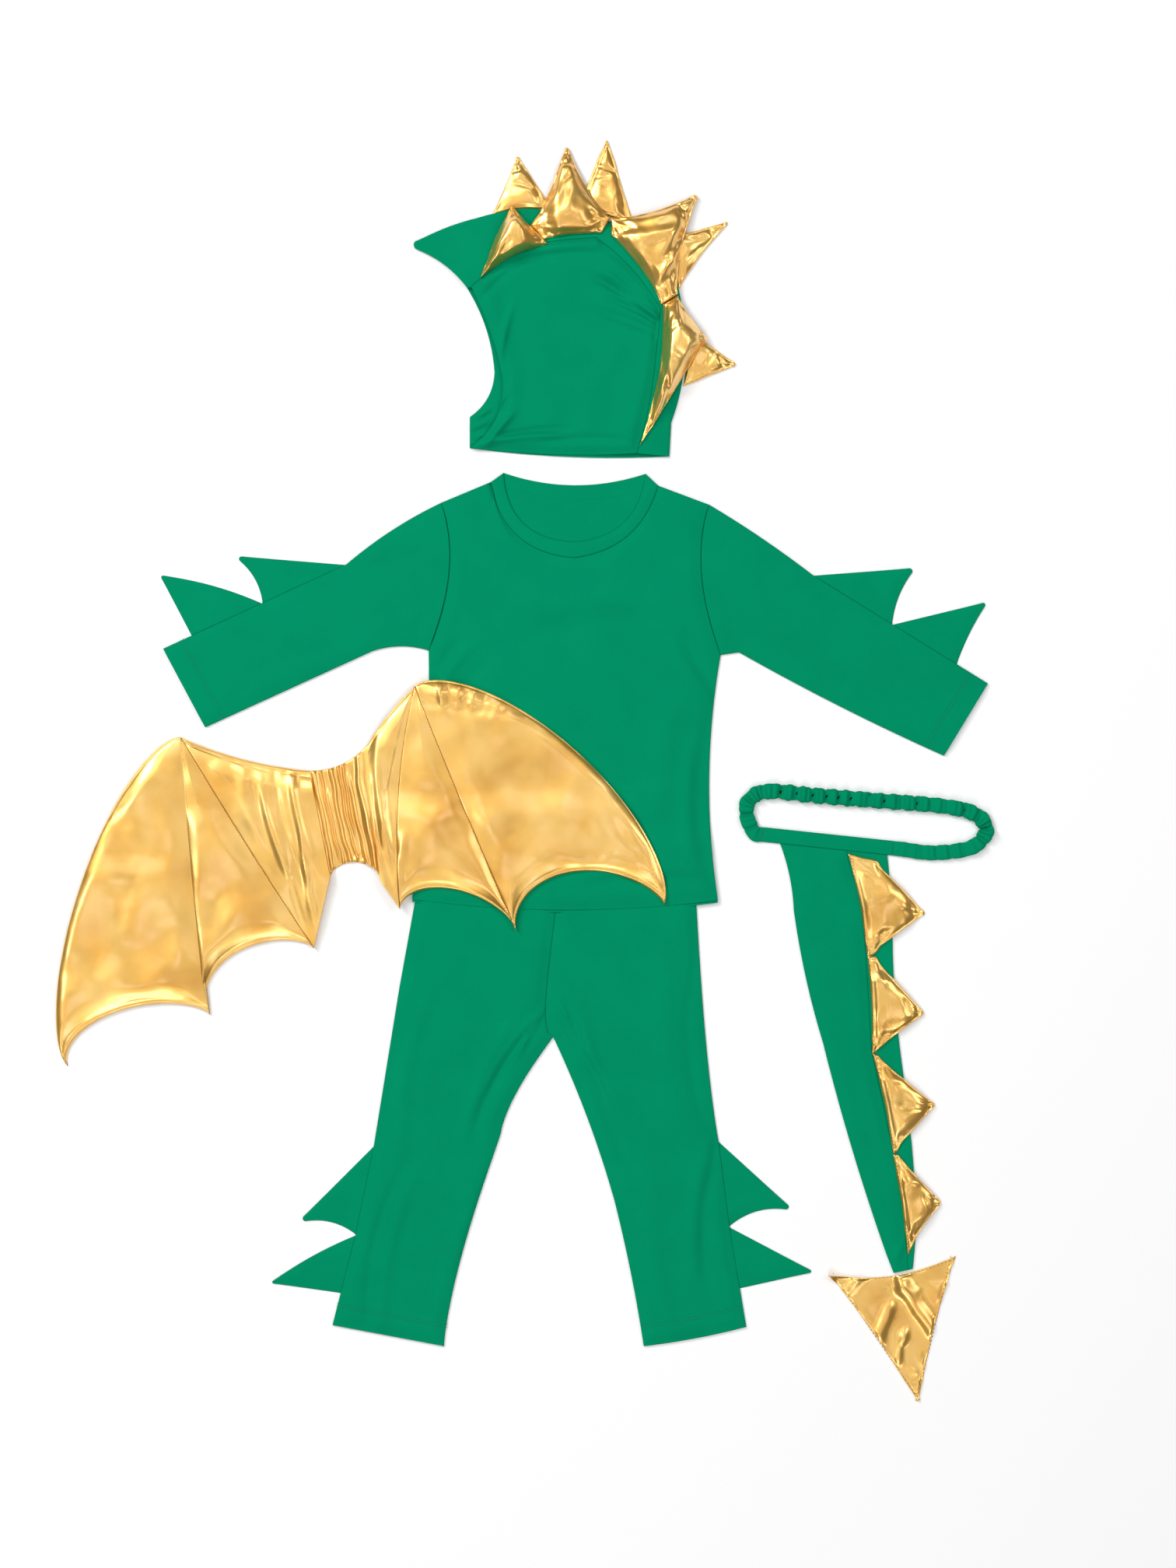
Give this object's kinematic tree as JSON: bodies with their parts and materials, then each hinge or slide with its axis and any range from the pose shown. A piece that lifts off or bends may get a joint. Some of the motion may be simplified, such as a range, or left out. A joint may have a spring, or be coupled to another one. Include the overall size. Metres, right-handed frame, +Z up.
{
  "type": "child's dragon costume laid out flat",
  "caption": "Child's dragon costume laid flat: long-sleeved top and trousers with fins, gathered wings, spiked hood, belted tail.",
  "frame": {"origin": "middle of the whole layout, on the surface that it lies on", "axes": "+X to the right of the layout as seen from above, +Y from the trouser hems toward the hood, +Z up from the surface"},
  "size_m": [1.023, 1.3812, 0.0262],
  "materials": {
    "green_jersey": "smooth matt stretch jersey",
    "gold_foil_cloth": "soft metallic foil-coated knit, satin gloss"
  },
  "bodies": {
    "root": {"belt_elastic": "green_jersey", "belt_tab": "green_jersey", "hood_gusset": "green_jersey", "hood_side_lower": "green_jersey", "hood_side_upper": "green_jersey", "hood_spike_lower_1": "gold_foil_cloth", "hood_spike_lower_2": "gold_foil_cloth", "hood_spike_lower_3": "gold_foil_cloth", "hood_spike_lower_4": "gold_foil_cloth", "hood_spike_upper_1": "gold_foil_cloth", "hood_spike_upper_2": "gold_foil_cloth", "hood_spike_upper_3": "gold_foil_cloth", "hood_spike_upper_4": "gold_foil_cloth", "leg_left_back": "green_jersey", "leg_left_fin_1": "green_jersey", "leg_left_fin_2": "green_jersey", "leg_left_front": "green_jersey", "leg_right_back": "green_jersey", "leg_right_fin_1": "green_jersey", "leg_right_fin_2": "green_jersey", "leg_right_front": "green_jersey", "neckband_back": "green_jersey", "neckband_front": "green_jersey", "sleeve_left": "green_jersey", "sleeve_left_fin_1": "green_jersey", "sleeve_left_fin_2": "green_jersey", "sleeve_right": "green_jersey", "sleeve_right_fin_1": "green_jersey", "sleeve_right_fin_2": "green_jersey", "tail_arrow": "gold_foil_cloth", "tail_back": "green_jersey", "tail_front_left": "green_jersey", "tail_front_right": "green_jersey", "tail_spike_1": "gold_foil_cloth", "tail_spike_2": "gold_foil_cloth", "tail_spike_3": "gold_foil_cloth", "tail_spike_4": "gold_foil_cloth", "top_back": "green_jersey", "top_front": "green_jersey", "waistband": "green_jersey", "wing_gather": "gold_foil_cloth", "wing_left": "gold_foil_cloth", "wing_right": "gold_foil_cloth"}
  },
  "joints": []
}
